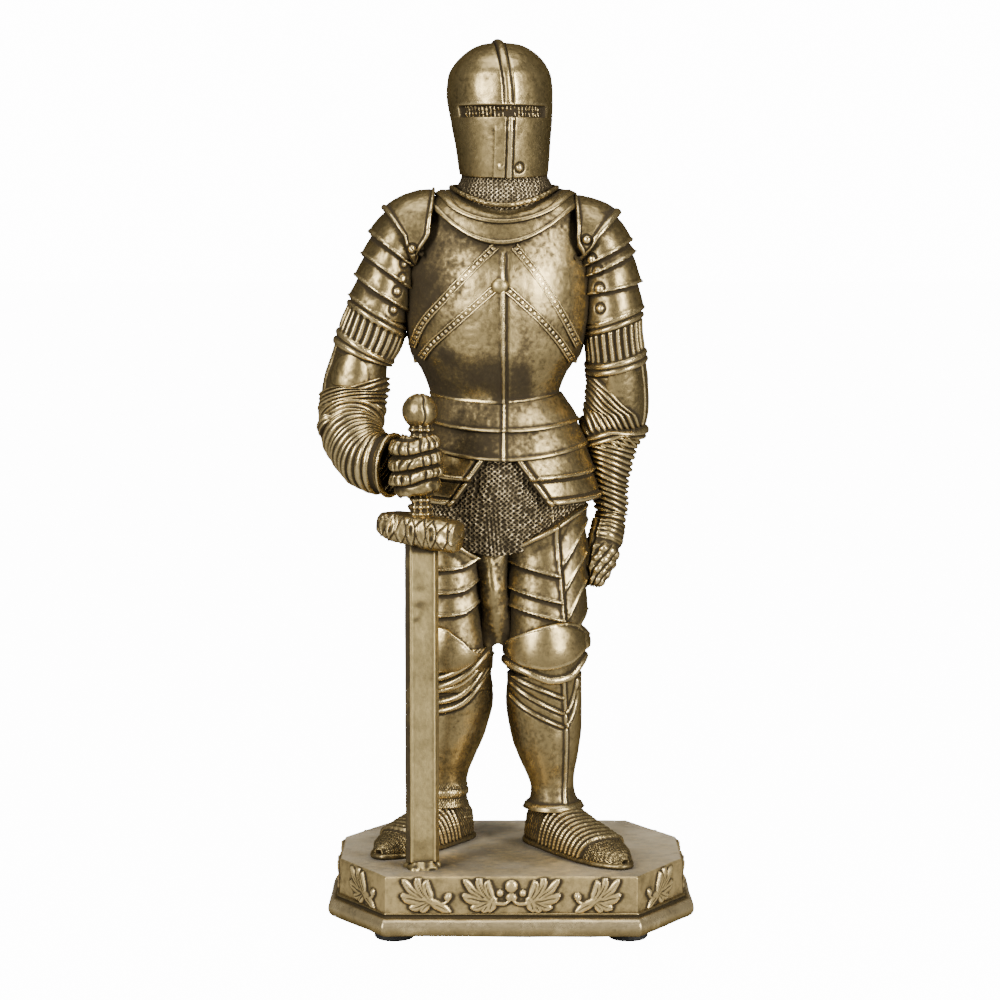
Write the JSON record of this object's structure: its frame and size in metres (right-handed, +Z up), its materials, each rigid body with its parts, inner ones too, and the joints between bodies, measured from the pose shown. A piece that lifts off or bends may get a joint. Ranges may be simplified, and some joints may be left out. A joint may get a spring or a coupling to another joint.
{
  "type": "knight statuette",
  "caption": "Cast statuette of a standing knight in full plate armour and closed helmet, one fist on an upright long sword, on an eight-sided moulded base.",
  "frame": {"origin": "centre of the footprint, on the plane the rubber bumpers stand on", "axes": "+Z up, -Y the way the knight faces and the wide front of the base, +X the knight's left hand side"},
  "size_m": [0.115, 0.085, 0.2719],
  "materials": {
    "armour_metal": "antique brass finish on cast resin, bright on the high edges and nearly black in the recesses",
    "mail_metal": "darker antique brass, matt, over modelled mail",
    "blade_metal": "smooth satin brass",
    "base_top_metal": "grey-brown worn brass, satin",
    "rubber": "matt black rubber"
  },
  "bodies": {
    "root": {"arm_band_left": "armour_metal", "arm_band_right": "armour_metal", "backplate": "armour_metal", "base_moulding": "armour_metal", "base_plinth": "base_top_metal", "body_core": "mail_metal", "breastplate": "armour_metal", "bumper_front_left": "rubber", "bumper_front_right": "rubber", "bumper_rear_left": "rubber", "bumper_rear_right": "rubber", "chest_boss": "armour_metal", "cuisse_left": "armour_metal", "cuisse_right": "armour_metal", "culet": "armour_metal", "elbow_wraps_left": "armour_metal", "elbow_wraps_right": "armour_metal", "eye_grille": "mail_metal", "fauld_lower": "armour_metal", "fauld_upper": "armour_metal", "gauntlet_left": "mail_metal", "gauntlet_right": "armour_metal", "gorget_collar": "armour_metal", "gorget_plate": "armour_metal", "greave_left": "armour_metal", "greave_right": "armour_metal", "helmet_bowl": "armour_metal", "helmet_comb": "armour_metal", "helmet_visor": "armour_metal", "knee_lames_left": "armour_metal", "knee_lames_right": "armour_metal", "loin_drape": "mail_metal", "mail_aventail": "mail_metal", "mail_skirt": "mail_metal", "neck_ring": "armour_metal", "pauldron_left": "armour_metal", "pauldron_right": "armour_metal", "poleyn_left": "armour_metal", "poleyn_right": "armour_metal", "sabaton_left": "armour_metal", "sabaton_right": "armour_metal", "shoulder_lames_left": "armour_metal", "shoulder_lames_right": "armour_metal", "sole_left": "mail_metal", "sole_right": "mail_metal", "strap_lower_left": "armour_metal", "strap_lower_right": "armour_metal", "strap_upper_left": "armour_metal", "strap_upper_right": "armour_metal", "sword_blade": "blade_metal", "sword_crossguard": "armour_metal", "sword_grip": "armour_metal", "sword_pommel": "armour_metal", "sword_socket": "armour_metal", "tasset_left": "armour_metal", "tasset_right": "armour_metal", "upper_cannon_left": "armour_metal", "upper_cannon_right": "armour_metal", "vambrace_left": "armour_metal", "vambrace_right": "armour_metal"}
  },
  "joints": []
}
